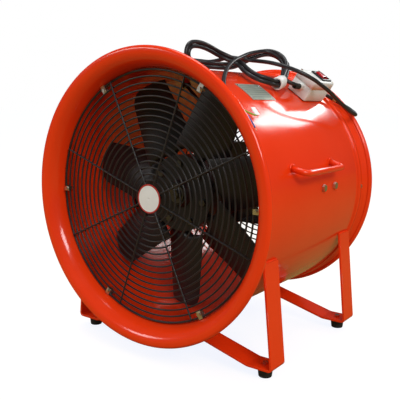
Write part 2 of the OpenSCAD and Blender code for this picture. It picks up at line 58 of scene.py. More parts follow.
camera.location = (0.777, -1.0918, 0.5097)
camera.rotation_mode = "QUATERNION"
camera_roll = Quaternion((0, 0, 1), math.radians(0.19))
camera.rotation_quaternion = looking.to_track_quat("-Z", "Y") @ camera_roll
bpy.context.scene.camera = camera

# The mains cord is one round black cable in a rubber jacket. It leaves the switch box, runs twice
# round a pair of standing loops that a label holds, and hangs down to its stripped end. Its solids
# are four plain tubes: two single runs and two bundles.
cord_width = 0.0085


def unit(vector):
    """A vector, or each row of an array of them, at length one."""
    return vector / np.linalg.norm(vector, axis=-1, keepdims=True)


def smooth_path(points, step):
    """A Catmull-Rom curve in metres through points in millimetres: p(t) = half of (2b + (c-a)t +
    (2a-5b+4c-d)t^2 + (3b-a-3c+d)t^3) between b and c, then read at even steps of arc length."""
    p = np.array(points, float) / 1000
    p = np.vstack([2 * p[0] - p[1], p, 2 * p[-1] - p[-2]])
    t = np.linspace(0, 1, 16, endpoint=False)[None, :, None]
    a, b, c, d = (p[i : len(p) - 3 + i][:, None, :] for i in range(4))
    square, cube = 2 * a - 5 * b + 4 * c - d, 3 * b - a - 3 * c + d
    dense = (2 * b + (c - a) * t + square * t**2 + cube * t**3) / 2
    dense = np.vstack([dense.reshape(-1, 3), p[-2]])
    run = np.r_[0, np.cumsum(np.linalg.norm(np.diff(dense, axis=0), axis=1))]
    even = np.linspace(0, run[-1], int(run[-1] / step) + 2)
    return np.stack([np.interp(even, run, dense[:, k]) for k in range(3)], axis=1)


def path_length(path):
    """The sum of a path's steps."""
    return float(np.linalg.norm(np.diff(path, axis=0), axis=1).sum())


def side_vectors(path):
    """Two unit vectors across a path at each of its points, carried along it without twist."""
    t = unit(np.gradient(path, axis=0))
    u = np.cross(t[0], (0.3, 0.2, 0.9))
    sides = []
    for direction in t:
        u = unit(u - (u @ direction) * direction)
        sides.append(u)
    u = np.array(sides)
    return u, np.cross(t, u)


def mesh_piece(name, points, faces, material, body="casing", smooth=True):
    """A closed mesh object at the origin, with its faces turned outward, that rides on a body."""
    mesh = bpy.data.meshes.new(name)
    mesh.from_pydata(np.asarray(points).reshape(-1, 3).tolist(), [], faces)
    shell = bmesh.new()
    shell.from_mesh(mesh)
    bmesh.ops.recalc_face_normals(shell, faces=shell.faces)
    shell.to_mesh(mesh)
    shell.free()
    mesh.polygons.foreach_set("use_smooth", np.full(len(mesh.polygons), smooth))
    mesh.materials.append(material)
    piece = bpy.data.objects.new(name, mesh)
    bpy.context.collection.objects.link(piece)
    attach(piece, body)
    return piece


def grid_faces(rows, columns, around=False, along=False, first=0):
    """Quads between neighbours on a grid of points, which may close on itself either way."""
    i = np.arange(rows if along else rows - 1)[:, None]
    j = np.arange(columns if around else columns - 1)[None, :]
    i2, j2 = (i + 1) % rows, (j + 1) % columns
    here, above = i * columns, i2 * columns
    quads = np.stack([here + j, here + j2, above + j2, above + j], axis=-1)
    return (quads.reshape(-1, 4) + first).tolist()


def end_faces(rows, columns):
    """The two flat ends of a tube whose rings have this many points."""
    last = (rows - 1) * columns
    return [list(range(columns))[::-1], list(range(last, last + columns))]


def tube_faces(rows, columns):
    """The sides and the two flat ends of a tube of rings."""
    return grid_faces(rows, columns, around=True) + end_faces(rows, columns)


def add_run_map(piece, rows, columns, length, girth):
    """Writes a UV map of metres along and round a tube, for a pattern that follows it."""
    mesh = piece.data
    corner = np.empty(len(mesh.loops), int)
    mesh.loops.foreach_get("vertex_index", corner)
    along = corner // columns * (length / (rows - 1))
    around = corner % columns * (girth / columns)
    uv = mesh.uv_layers.new(name="run")
    uv.data.foreach_set("uv", np.stack([along, around], axis=1).ravel())


def tube_points(path, radius, sides):
    """Rings p + r (u cos a + v sin a) along a path, with one radius or one for each ring."""
    u, v = side_vectors(path)
    a = np.linspace(0, 2 * np.pi, sides, endpoint=False)[None, :, None]
    r = np.broadcast_to(np.asarray(radius, float), (len(path),))[:, None, None]
    return path[:, None] + r * (np.cos(a) * u[:, None] + np.sin(a) * v[:, None])


def tube_piece(name, path, radius, sides, material):
    """A closed round tube along a path, with its run map."""
    rings = tube_points(path, radius, sides)
    piece = mesh_piece(name, rings, tube_faces(len(path), sides), material)
    girth = 2 * np.pi * float(np.max(radius))
    add_run_map(piece, len(path), sides, path_length(path), girth)
    return piece


def node_adder(tree):
    """A function that adds a node to a tree. Its inputs are values, or sockets to wire in."""

    def add(kind, inputs=(), **settings):
        node = tree.nodes.new(kind)
        for key, value in settings.items():
            setattr(node, key, value)
        for key, value in dict(inputs).items():
            if isinstance(value, bpy.types.NodeSocket):
                tree.links.new(value, node.inputs[key])
            else:
                node.inputs[key].default_value = value
        return node

    return add


def new_material(name):
    """A material, its Principled shader, a function that adds a node, and its links."""
    material = bpy.data.materials.new(name)
    material.use_nodes = True
    tree = material.node_tree
    return material, tree.nodes["Principled BSDF"], node_adder(tree), tree.links


def mixed(add, factor, first, second):
    """The colour from first to second by a factor. Each is a socket or red, green and blue."""
    first, second = ((*c, 1) if isinstance(c, tuple) else c for c in (first, second))
    mix = add("ShaderNodeMix", {"Factor": factor, "A": first, "B": second}, data_type="RGBA")
    return mix.outputs["Result"]


def object_place(add):
    """The piece's own coordinates, in metres."""
    return add("ShaderNodeTexCoord").outputs["Object"]


def new_group(name, inputs, outputs):
    """A node group with named inputs, given as (type, default), and named outputs."""
    group = bpy.data.node_groups.new(name, "ShaderNodeTree")
    for label, (kind, value) in inputs.items():
        socket = group.interface.new_socket(label, in_out="INPUT", socket_type=kind)
        if value is not None:
            socket.default_value = value
    for label, kind in outputs.items():
        group.interface.new_socket(label, in_out="OUTPUT", socket_type=kind)
    source, sink = group.nodes.new("NodeGroupInput"), group.nodes.new("NodeGroupOutput")
    return group, source, sink, node_adder(group), group.links


# Handling marks and a fine grain are on every finish but the jacket's, so they are one group:
# broad soft patches that dull a surface, and a fine relief, from noise on the piece's coordinates.
marks, marks_in, marks_out, add_mark, mark_links = new_group(
    "handling_marks",
    {
        "Place": ("NodeSocketVector", None),
        "Patch Size": ("NodeSocketFloat", 20.0),
        "Grain Size": ("NodeSocketFloat", 900.0),
        "Low": ("NodeSocketFloat", 0.2),
        "High": ("NodeSocketFloat", 0.4),
    },
    {"Roughness": "NodeSocketFloat", "Patches": "NodeSocketFloat", "Grain": "NodeSocketFloat"},
)
place, patch_size, grain_size, low, high = marks_in.outputs[:5]
patches = add_mark(
    "ShaderNodeTexNoise", {"Vector": place, "Scale": patch_size, "Detail": 5.0, "Roughness": 0.6}
)
grain = add_mark("ShaderNodeTexNoise", {"Vector": place, "Scale": grain_size, "Detail": 2.0})
patchy = {"Value": patches.outputs["Fac"], "From Min": 0.35, "From Max": 0.7}
rough_range = add_mark("ShaderNodeMapRange", {**patchy, "To Min": low, "To Max": high})
mark_links.new(rough_range.outputs["Result"], marks_out.inputs["Roughness"])
mark_links.new(patches.outputs["Fac"], marks_out.inputs["Patches"])
mark_links.new(grain.outputs["Fac"], marks_out.inputs["Grain"])


def marked_finish(name, light, dark, low, high, patch, fine, bump, depth):
    """A finish with handling marks: two near colours in patches, a roughness from low to high, and
    a fine relief of a strength and depth. patch and fine are the noise scales, for each metre."""
    material, shader, add, links = new_material(name)
    settings = {"Patch Size": patch, "Grain Size": fine, "Low": low, "High": high}
    mark = add("ShaderNodeGroup", {"Place": object_place(add), **settings}, node_tree=marks)
    tint = mixed(add, mark.outputs["Patches"], dark, light)
    links.new(tint, shader.inputs["Base Color"])
    links.new(mark.outputs["Roughness"], shader.inputs["Roughness"])
    height = {"Height": mark.outputs["Grain"], "Strength": bump, "Distance": depth}
    relief = add("ShaderNodeBump", height)
    links.new(relief.outputs["Normal"], shader.inputs["Normal"])
    return material, shader, add, links


# The cable's jacket is smooth black rubber: fine lengthwise drawing lines on the run map, and a
# soft grey bloom in patches.
jacket, jacket_shader, add_jacket, jacket_links = new_material("cable_jacket")
jacket_run = add_jacket("ShaderNodeUVMap", uv_map="run").outputs["UV"]
drawn = add_jacket("ShaderNodeMapping", {"Vector": jacket_run, "Scale": (12, 1800, 1)})
lines = add_jacket(
    "ShaderNodeTexNoise", {"Vector": drawn.outputs["Vector"], "Scale": 1.0, "Detail": 2.0}
)
bloom = add_jacket(
    "ShaderNodeTexNoise", {"Vector": object_place(add_jacket), "Scale": 45.0, "Detail": 4.0}
).outputs["Fac"]
jacket_rough = add_jacket("ShaderNodeMapRange", {"Value": bloom, "To Min": 0.28, "To Max": 0.46})
jacket_relief = add_jacket(
    "ShaderNodeBump", {"Height": lines.outputs["Fac"], "Strength": 0.12, "Distance": 0.0003}
)
jacket_tint = mixed(add_jacket, bloom, (0.013, 0.013, 0.015), (0.0287, 0.0287, 0.0325))
jacket_links.new(jacket_tint, jacket_shader.inputs["Base Color"])
jacket_links.new(jacket_rough.outputs["Result"], jacket_shader.inputs["Roughness"])
jacket_links.new(jacket_relief.outputs["Normal"], jacket_shader.inputs["Normal"])

# The routes are in millimetres. The two loops share their first and last points.
cord_start = [
    (166, 76, 550), (166, 58, 551), (158, 45, 556), (146, 42, 564), (137, 52, 571),
]
right_loop = [
    (10, 52, 596), (22, 72, 606), (42, 95, 620), (66, 112, 626), (90, 118, 618), (110, 110, 603),
    (124, 90, 587), (135, 63, 571), (145, 34, 558), (149, 7, 552), (146, -20, 556),
    (130, -38, 563), (108, -36, 574), (84, -16, 584), (62, 8, 592), (44, 14, 600),
]
left_loop = [
    (10, 52, 596), (8, 20, 593), (8, -15, 592.5), (8, -50, 592.5), (8, -80, 592.5),
    (8, -98, 592.5), (9, -111.5, 598), (10, -117, 611.5), (10, -111.5, 625), (10, -98, 631),
    (11, -70, 631.5), (12, -38, 625.5), (16, -10, 616), (28, 6, 608), (44, 14, 600),
]
cord_end = [
    (68, 108, 627), (56, 80, 625), (53, 50, 619), (56, 20, 611), (64, -20, 601), (80, -62, 589),
    (98, -100, 577), (120, -140, 561), (143, -175, 545), (163, -196, 529), (180, -203, 514),
    (197, -194, 500),
]
lead_route = [
    (169, 184, 535), (172, 198, 531), (182, 214, 522), (196, 228, 511), (212, 236, 500),
    (226, 232, 491), (235, 214, 488), (234, 190, 495), (229, 162, 508), (225, 134, 522),
    (221, 108, 536), (215, 83, 549), (205, 60, 562), (188, 42, 574), (166, 32, 584),
    (140, 30, 592), (112, 36, 598), (84, 44, 602), (60, 50, 605), (36, 49, 609), (8, 42, 613),
    (-16, 36, 608), (-40, 32, 605), (-66, 33, 608), (-92, 34, 610), (-112, 35, 602),
    (-121, 35, 586), (-117, 35, 574),
]

# One lap of the loops goes up the arch from the label, over to the left loop's lower run, round
# its left end, and back along its upper run to the label. Each lap lies a third of a turn round
# the bundle from the last, so the runs lie side by side and never inside each other.
lap_route = right_loop[6::-1] + left_loop[1:] + right_loop[-2:6:-1]
bundle_r = 0.00495
lap_steps, kept_step = 420, 8
laps, first_side, softening_passes = 2.05, 2.2, 6
lap = smooth_path(lap_route + lap_route[:3], 0.002)
lap_total = path_length(smooth_path(lap_route + lap_route[:1], 0.002))
lap_run = np.r_[0, np.cumsum(np.linalg.norm(np.diff(lap, axis=0), axis=1))]
even_run = np.linspace(0, lap_total, lap_steps, endpoint=False)
lap = np.stack([np.interp(even_run, lap_run, lap[:, k]) for k in range(3)], axis=1)
lap_u, lap_v = side_vectors(np.vstack([lap, lap[:1]]))
closing = math.atan2(lap_u[-1] @ lap_v[0], lap_u[-1] @ lap_u[0])

lap_step = np.arange(int(laps * lap_steps))
turn = lap_step / lap_steps
around = first_side + 2 * np.pi * turn / 3 - closing * (turn % 1)
at_lap = lap_step % lap_steps
beside = np.cos(around)[:, None] * lap_u[at_lap] + np.sin(around)[:, None] * lap_v[at_lap]
bundle = 1000 * (lap[at_lap] + bundle_r * beside)
cord_path = smooth_path(np.vstack([cord_start, bundle[kept_step::kept_step], cord_end]), 0.004)
for _ in range(softening_passes):
    cord_path[1:-1] = (cord_path[:-2] + 2 * cord_path[1:-1] + cord_path[2:]) / 4
mains_cord = tube_piece("mains_cord", cord_path, cord_width / 2, 14, jacket)
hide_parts("mains_cord_start", "cord_left_loop", "cord_right_loop", "mains_cord_end")

lead_path = smooth_path(lead_route, 0.004)
motor_lead = tube_piece("motor_lead_cable", lead_path, cord_width / 2, 14, jacket)
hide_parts("motor_lead")

# The casing is one round shell of painted sheet: a wide rolled rim and a trumpet-shaped bell in
# front, the plain tube, a pressed bead, and a small flared lip with a rolled rim at the back.
bell_low, bell_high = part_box("inlet_bell")
front_y = bell_low[1]
axis_z = (bell_low[2] + bell_high[2]) / 2
tube_r, wall, body_length = 0.255, 0.002, 0.504
bell_length, bell_r, bell_rim = 0.042, 0.291, 0.0065
lip_start, lip_flare, lip_r, lip_rim = 0.474, 0.018, 0.2695, 0.007
bead_at, bead_width, bead_height = 0.456, 0.006, 0.0045


def around_axis(radius, depth, angle):
    """The point at a radius from the fan's axis, a depth behind the front, and an angle that
    rises from +X to +Z."""
    x, z = radius * np.cos(angle), axis_z + radius * np.sin(angle)
    return np.stack(np.broadcast_arrays(x, front_y + depth, z), axis=-1)


def revolved(name, profile, material, segments=256):
    """A closed profile of (radius, depth) pairs carried round the fan's axis."""
    profile = np.array(profile)
    angle = np.linspace(0, 2 * np.pi, segments, endpoint=False)[:, None]
    points = around_axis(profile[None, :, 0], profile[None, :, 1], angle)
    faces = grid_faces(segments, len(profile), around=True, along=True)
    return mesh_piece(name, points, faces, material)


def arc(centre, radius, start, stop, count):
    """Points (radius, depth) on a circle in the profile, between two angles in degrees."""
    a = np.radians(np.linspace(start, stop, count))
    return np.stack([centre[0] + radius * np.cos(a), centre[1] + radius * np.sin(a)], axis=1)


bell_mid = bell_r - bell_rim - 0.0035
bell_turn = np.radians(np.linspace(0, 90, 28))


def bell_side(start_r):
    """A quarter ellipse, r = m - (m - s) cos a, d = l - (l - s + b) sin a, for one sheet side."""
    reach = bell_length - (start_r - (tube_r - wall))
    radius = bell_mid - (bell_mid - start_r) * np.cos(bell_turn)
    return np.stack([radius, bell_length - reach * np.sin(bell_turn)], axis=1)


def lip_side(start_r):
    """Half a cosine wave outward between the tube and the rolled rim."""
    t = np.linspace(0, 1, 14)
    flare = (lip_r - lip_rim - tube_r) * (1 - np.cos(np.pi * t)) / 2
    return np.stack([start_r + flare, lip_start + lip_flare * t], axis=1)


bead_turn = np.radians(np.linspace(0, 180, 17))
bead = np.stack(
    [tube_r + bead_height * np.sin(bead_turn), bead_at - bead_width * np.cos(bead_turn)], axis=1
)
plain = np.linspace(0.06, bead_at - 0.016, 16)
inside = np.linspace(lip_start - 0.01, bell_length + 0.02, 18)
shell_profile = np.vstack(
    [
        bell_side(tube_r - wall),
        arc((bell_r - bell_rim, bell_rim), bell_rim, -90, 217, 34),
        bell_side(tube_r)[-4::-1],
        np.stack([np.full_like(plain, tube_r), plain], axis=1),
        bead,
        lip_side(tube_r)[:-1],
        arc((lip_r - lip_rim, body_length - lip_rim), lip_rim, -91, 248, 36),
        lip_side(tube_r - wall)[-2::-1],
        np.stack([np.full_like(inside, tube_r - wall), inside], axis=1),
    ]
)

enamel, enamel_shader, add_enamel, enamel_links = marked_finish(
    "orange_red_enamel", (0.88, 0.046, 0.0045), (0.8, 0.036, 0.0035), 0.13, 0.22, 9, 210, 0.1, 6e-4
)
enamel_shader.inputs["Coat Weight"].default_value = 0.3
enamel_shader.inputs["Coat Roughness"].default_value = 0.06
enamel_shader.inputs["Specular IOR Level"].default_value = 0.35
sheet = add_enamel(
    "ShaderNodeTexNoise", {"Vector": object_place(add_enamel), "Scale": 7.0, "Detail": 1.0}
)
fine_relief = enamel_shader.inputs["Normal"].links[0].from_socket
wavy = {"Height": sheet.outputs["Fac"], "Normal": fine_relief, "Strength": 0.5, "Distance": 0.004}
waves = add_enamel("ShaderNodeBump", wavy)
enamel_links.new(waves.outputs["Normal"], enamel_shader.inputs["Normal"])

shell = revolved("casing_shell", shell_profile, enamel)
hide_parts("casing_tube", "inlet_bell", "outlet_lip")


# Each guard is a set of round steel wire rings in one plane, spot-welded to eight straight wires
# and coated black. The weld leaves a small swelling on the straight wire at each crossing.
guard_r, ring_step, ring_count = 0.2488, 0.0125, 18
ring_wire, edge_wire, weld_swell, weld_reach = 0.0018, 0.0022, 0.0004, 0.0016
ring_segments, ring_sides, spoke_sides = 168, 10, 8
spoke_count, spoke_first, spoke_start = 8, 24.5, 0.012
spoke_length, spoke_end = guard_r - spoke_start, 0.0022
ring_radii = guard_r - ring_step * np.arange(ring_count)

wire_coat, *_ = marked_finish(
    "black_wire_coat", (0.022, 0.022, 0.024), (0.01, 0.01, 0.011), 0.3, 0.45, 60, 1500, 0.15, 0.0002
)


def guard(label, ring_depth, spoke_depth):
    """The rings are tori, (R + w cos b) round the axis. Each spoke is a tube along a radius, of
    radius w + s exp(-(distance to the nearest ring / reach)^2), with rounded ends."""
    a = np.linspace(0, 2 * np.pi, ring_segments, endpoint=False)[None, :, None]
    b = np.linspace(0, 2 * np.pi, ring_sides, endpoint=False)[None, None, :]
    wire = np.where(np.arange(ring_count) == 0, edge_wire, ring_wire)[:, None, None]
    ring_r = ring_radii[:, None, None] + wire * np.cos(b)
    rings = around_axis(ring_r, ring_depth + wire * np.sin(b), a)
    faces = []
    for k in range(ring_count):
        first = k * ring_segments * ring_sides
        faces += grid_faces(ring_segments, ring_sides, around=True, along=True, first=first)
    rings_piece = mesh_piece(label + "_guard_wires", rings, faces, wire_coat)
    tip = np.array([0, 0.0004, 0.0012])
    middle = np.linspace(spoke_end, spoke_length - spoke_end, 230)
    run = np.r_[tip, middle, spoke_length - tip[::-1]]
    place = spoke_start + run
    near = np.abs(place[:, None] - ring_radii[None, :]).min(axis=1)
    radius = ring_wire + weld_swell * np.exp(-((near / weld_reach) ** 2))
    from_end = np.clip(np.minimum(run, run[-1] - run) / spoke_end, 0, 1)
    radius = radius * np.sqrt(np.clip(1 - (1 - from_end) ** 2, 0.02, 1))
    spokes, faces = [], []
    for k in range(spoke_count):
        path = around_axis(place, spoke_depth, math.radians(spoke_first + 360 / spoke_count * k))
        spokes.append(tube_points(path, radius, spoke_sides).reshape(-1, 3))
        first = k * len(place) * spoke_sides
        faces += [[first + i for i in face] for face in tube_faces(len(place), spoke_sides)]
    name = label + "_guard_spoke_wires"
    return rings_piece, mesh_piece(name, np.vstack(spokes), faces, wire_coat)


front_low, front_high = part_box("front_guard_rings")
front_depth = (front_low[1] + front_high[1]) / 2 - front_y
rings_piece, spokes_piece = guard("front", front_depth, front_depth - 2 * ring_wire)
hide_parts("front_guard_rings")
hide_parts("front_guard_spokes")
rear_low, rear_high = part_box("rear_guard_spokes")
rear_depth = (rear_low[1] + rear_high[1]) / 2 - front_y
rings_piece, spokes_piece = guard("rear", rear_depth - 2 * ring_wire, rear_depth)
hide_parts("rear_guard_spokes")
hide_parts("rear_guard_rings")


# Six small rounded tabs are welded to the rear guard's edge ring, and screws through the casing
# hold them.
def rounded_outline(width, length, radius, steps=7):
    """A rectangle outline with quarter-round corners, anticlockwise."""
    q = np.linspace(0, np.pi / 2, steps)
    corners = []
    for k, (sx, sy) in enumerate(((1, 1), (-1, 1), (-1, -1), (1, -1))):
        x = sx * (width / 2 - radius) + radius * np.cos(q + k * np.pi / 2)
        y = sy * (length / 2 - radius) + radius * np.sin(q + k * np.pi / 2)
        corners.append(np.stack([x, y], axis=1))
    return np.concatenate(corners)


tab_layers = np.array([[0.92, 0.0016], [1.0, 0.0019], [1.0, 0.0029], [0.92, 0.0032]])
tab = rounded_outline(0.014, 0.012, 0.0035) * tab_layers[:, :1, None]
tab_rows, tab_columns = tab.shape[:2]
tab_points, tab_faces = [], []
for k in range(6):
    reach = guard_r + tab_layers[:, 1, None]
    angle = k * math.pi / 3 + tab[..., 0] / guard_r
    tab_points.append(around_axis(reach, rear_depth - 2 * ring_wire + 0.004 + tab[..., 1], angle))
    first = k * tab_rows * tab_columns
    tab_faces += [[first + i for i in face] for face in tube_faces(tab_rows, tab_columns)]
tabs = mesh_piece("rear_guard_tabs", np.array(tab_points), tab_faces, wire_coat)
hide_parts("rear_guard_rings")


# The badge is a pressed white disc with a plain red border, fixed over the middle of the guard.
badge_low, badge_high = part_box("guard_badge")
badge_r = (badge_high[0] - badge_low[0]) / 2
badge_front, badge_back = badge_low[1] - front_y, badge_high[1] - front_y
badge_white, badge_shader, add_badge, badge_links = marked_finish(
    "badge_print", (0.80, 0.80, 0.78), (0.70, 0.70, 0.69), 0.28, 0.42, 40, 700, 0.08, 0.0004
)
from_middle = add_badge(
    "ShaderNodeMapping", {"Vector": object_place(add_badge), "Location": (0, 0, -axis_z)}
)
flat = add_badge(
    "ShaderNodeVectorMath", {0: from_middle.outputs["Vector"], 1: (1, 0, 1)}, operation="MULTIPLY"
)
reach = add_badge("ShaderNodeVectorMath", {0: flat.outputs["Vector"]}, operation="LENGTH")
border = add_badge(
    "ShaderNodeMapRange",
    {"Value": reach.outputs["Value"], "From Min": badge_r - 0.0034, "From Max": badge_r - 0.0030},
)
badge_tint = badge_shader.inputs["Base Color"].links[0].from_socket
badge_red = mixed(add_badge, border.outputs["Result"], badge_tint, (0.42, 0.018, 0.014))
badge_links.new(badge_red, badge_shader.inputs["Base Color"])
outward = np.linspace(0, 1, 9)[1:]
badge_face = badge_front + 0.0002
badge_profile = np.vstack(
    [
        [[0.0001, badge_face]],
        np.stack([badge_r * 0.93 * outward, badge_face + 0.0004 * outward**2], axis=1),
        arc((badge_r - 0.0009, badge_front + 0.0009), 0.0009, -90, 90, 9),
        [[badge_r * 0.9, badge_back], [0.0001, badge_back]],
    ]
)
badge = revolved("badge_disc", badge_profile, badge_white, segments=96)
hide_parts("guard_badge")


# The impeller's seven blades are moulded black plastic: twisted, cambered and rounded at both
# edges, each with a round shank clamped in the two-part hub.
blade_count, blade_first = 7, math.radians(12.7)
tip_r, root_r, shank_r, hub_at = 0.244, 0.086, 0.011, 0.148
root_pitch, tip_pitch, root_chord, tip_chord, camber = 16, 13, 0.122, 0.088, 0.07
tip_cut, tip_cut_from = 0.014, 0.85

blade_black, *_ = marked_finish(
    "blade_plastic", (0.020, 0.020, 0.022), (0.010, 0.010, 0.011), 0.3, 0.46, 16, 1100, 0.1, 0.0003
)


def blade_points(turned_to):
    """Sections at radius r from the shank to the tip. A section is q = cos b / 2 along the chord c
    and camber c (1 - 4 q^2) plus half the thickness times sin b above it. It is pitched less at
    the tip than at the root, and it fades into the round shank below the root."""
    vane = np.linspace(0.087, tip_r - 0.0012, 62)
    r = np.r_[np.linspace(0.060, 0.084, 8), vane, tip_r - 0.0004, tip_r][:, None]
    b = np.linspace(0, 2 * np.pi, 48, endpoint=False)[None, :]
    station = np.clip((r - root_r) / (tip_r - root_r), 0, 1)
    grown = np.where(station < 0.1, 0.8 + 0.2 * np.sin(np.radians(900 * station)), 1)
    cut = tip_cut * (np.clip(station - tip_cut_from, 0, 1) / (1 - tip_cut_from)) ** 2
    chord = (root_chord - (root_chord - tip_chord) * station) * grown - cut
    q = np.cos(b) / 2
    thick = 0.0010 + 0.0026 * (1 - 0.4 * station)
    half = thick * np.sin(b) * (0.62 + 0.38 * np.abs(np.sin(b)))
    close = np.clip((tip_r - r) / 0.0012, 0.25, 1)
    along = q * chord - cut / 2
    above = camber * chord * (1 - 4 * q * q) + half * close
    round_share = np.clip((0.100 - r) / 0.016, 0, 1)
    round_share = round_share * round_share * (3 - 2 * round_share)
    along = along * (1 - round_share) + shank_r * np.cos(b) * round_share
    above = above * (1 - round_share) + shank_r * np.sin(b) * round_share
    pitch = np.radians(root_pitch - (root_pitch - tip_pitch) * station)
    across = along * np.cos(pitch) - above * np.sin(pitch)
    depth = -along * np.sin(pitch) - above * np.cos(pitch)
    out = np.sqrt(np.maximum(r * r - across * across, 1e-6))
    angle = turned_to + np.arctan2(across, out)
    return around_axis(np.hypot(out, across), hub_at + depth, angle)


for k in range(blade_count):
    points = blade_points(blade_first + 2 * np.pi * k / blade_count)
    rows, columns = points.shape[:2]
    faces = tube_faces(rows, columns)
    name = f"blade_vane_{k + 1}"
    blade = mesh_piece(name, points, faces, blade_black, "impeller")
    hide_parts(f"blade_{k + 1}")


# Castings, turned steel and zinc-plated fixings keep the design's own shapes and get their finish.
def worn_metal(name, light, dark, low, high):
    """A metal with patches of duller plating."""
    material, shader, *_ = marked_finish(name, light, dark, low, high, 70.0, 700.0, 0.12, 0.0002)
    shader.inputs["Metallic"].default_value = 1.0
    return material


zinc = worn_metal("zinc_plate", (0.80, 0.78, 0.72), (0.55, 0.53, 0.47), 0.22, 0.42)
# The impeller's bolts take a darker steel than the other fixings.
dark_bolt = worn_metal("dark_bolt_steel", (0.20, 0.20, 0.20), (0.10, 0.10, 0.10), 0.25, 0.40)
steel = worn_metal("turned_steel", (0.66, 0.66, 0.67), (0.48, 0.48, 0.50), 0.20, 0.34)
core_iron = worn_metal("core_laminations", (0.30, 0.29, 0.28), (0.18, 0.17, 0.17), 0.4, 0.6)
casting, *_ = marked_finish(
    "motor_casting", (0.030, 0.030, 0.033), (0.014, 0.014, 0.016), 0.38, 0.58, 30, 420, 0.5, 0.0008
)
moulded, *_ = marked_finish(
    "black_moulding", (0.018, 0.018, 0.019), (0.01, 0.01, 0.011), 0.28, 0.42, 50, 1500, 0.12, 0.0002
)
rubber, *_ = marked_finish(
    "black_rubber", (0.028, 0.027, 0.026), (0.013, 0.013, 0.013), 0.55, 0.8, 60, 1300, 0.3, 0.0003
)
cream, *_ = marked_finish(
    "box_plastic", (0.80, 0.82, 0.80), (0.72, 0.74, 0.72), 0.34, 0.46, 25.0, 1600.0, 0.22, 0.0002
)

node_finishes = [
    (zinc, ["front_guard_clips", "front_clip_screws", "rear_guard_screws"]),
    (zinc, ["motor_mount_bolts", "lid_screws", "foot_bolts"]),
    (dark_bolt, ["impeller_bolts"]),
    (steel, ["shaft", "shaft_key", "bearings", "nameplate_rivets"]),
    (core_iron, ["stator_core", "rotor_core"]),
    (blade_black, ["hub_front", "hub_back"]),
    (casting, ["motor_shell", "motor_front_cap", "motor_rear_cap"]),
    (wire_coat, ["motor_cradle"]),
    (moulded, ["terminal_box", "tube_gland", "inner_lead"]),
    (rubber, ["switch_box_gasket"]),
]
for material, names in node_finishes:
    for name in names:
        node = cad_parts[name]
        node.data.materials.clear()
        node.data.materials.append(material)


# The strain relief on the mains cord is a tapered black rubber sleeve with flexing grooves, and it
# sits in the gland in the box's front end.
box_turn = math.radians(53.4)
box_out = np.array([math.cos(box_turn), 0, math.sin(box_turn)])
box_across = np.array([math.sin(box_turn), 0, -math.cos(box_turn)])
box_w, box_l, base_h, lid_h = 0.050, 0.090, 0.030, 0.018
box_middle = front_y + 0.380
box_foot = tube_r + 0.0008


def on_box(points):
    """Points given as (downhill, along the body, out of the casing) from the box's foot."""
    p = np.asarray(points, float)
    return (
        p[..., 0, None] * box_across
        + (p[..., 1, None] + box_middle) * np.array([0, 1, 0])
        + (p[..., 2, None] + box_foot) * box_out
        + np.array([0, 0, axis_z])
    )


def lathe(name, profile, start, direction, material, sides=40):
    """A profile of (radius, distance) pairs turned round a line from a start point."""
    profile = np.array(profile)
    d = unit(np.array(direction, float))
    u = unit(np.cross(d, (0.1, 0.9, 0.4)))
    v = np.cross(d, u)
    a = np.linspace(0, 2 * np.pi, sides, endpoint=False)[:, None, None]
    r, t = profile[None, :, 0, None], profile[None, :, 1, None]
    points = np.array(start) + t * d + r * (np.cos(a) * u + np.sin(a) * v)
    faces = grid_faces(sides, len(profile), around=True, along=True)
    return mesh_piece(name, points, faces, material)


front_gland = on_box([0, -box_l / 2, 0.020])
rear_gland = on_box([0.012, box_l / 2, 0.012])
groove = np.linspace(0, 1, 41)
sleeve_r = 0.0064 - 0.0014 * groove - 0.00045 * (np.sin(np.pi * 10 * groove) > 0.35)
sleeve = np.stack([sleeve_r, 0.009 + 0.020 * groove], axis=1)
sleeve = np.vstack([sleeve, [[0.0043, 0.0290], [0.0043, 0.0090]]])
relief = lathe("cord_strain_relief", sleeve, front_gland, (0, -1, 0), rubber)
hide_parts("strain_relief")

# Each gland is a light grey moulded collar and nut, screwed into the end wall of the box.
gland_profile = [
    (0.0043, -0.006), (0.0064, -0.006), (0.0064, 0.0), (0.0086, 0.0), (0.0090, 0.0004),
    (0.0090, 0.0026), (0.0086, 0.0030), (0.0072, 0.0031), (0.0070, 0.0036), (0.0070, 0.0082),
    (0.0064, 0.0090), (0.0048, 0.0090), (0.0043, 0.0086),
]
for end_name, gland_at, way in (("front", front_gland, -1), ("rear", rear_gland, 1)):
    name = f"{end_name}_gland_collar"
    gland = lathe(name, gland_profile, gland_at, (0, way, 0), cream)
    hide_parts("cable_glands")

# A crimped metal ferrule is on the motor's lead where it turns over behind the box.
lead = np.array(lead_route) / 1000
ferrule_way = lead[3] - lead[1]
crimp_start = lead[2] - 0.005 * unit(ferrule_way)
crimp = [
    (0.0043, 0), (0.0056, 0), (0.0059, 0.0004), (0.0059, 0.0026), (0.0052, 0.0034),
    (0.0052, 0.0066), (0.0059, 0.0074), (0.0059, 0.0096), (0.0056, 0.0100), (0.0043, 0.0100),
]
ferrule = lathe("lead_crimp", crimp, crimp_start, ferrule_way, steel)
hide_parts("lead_ferrule")

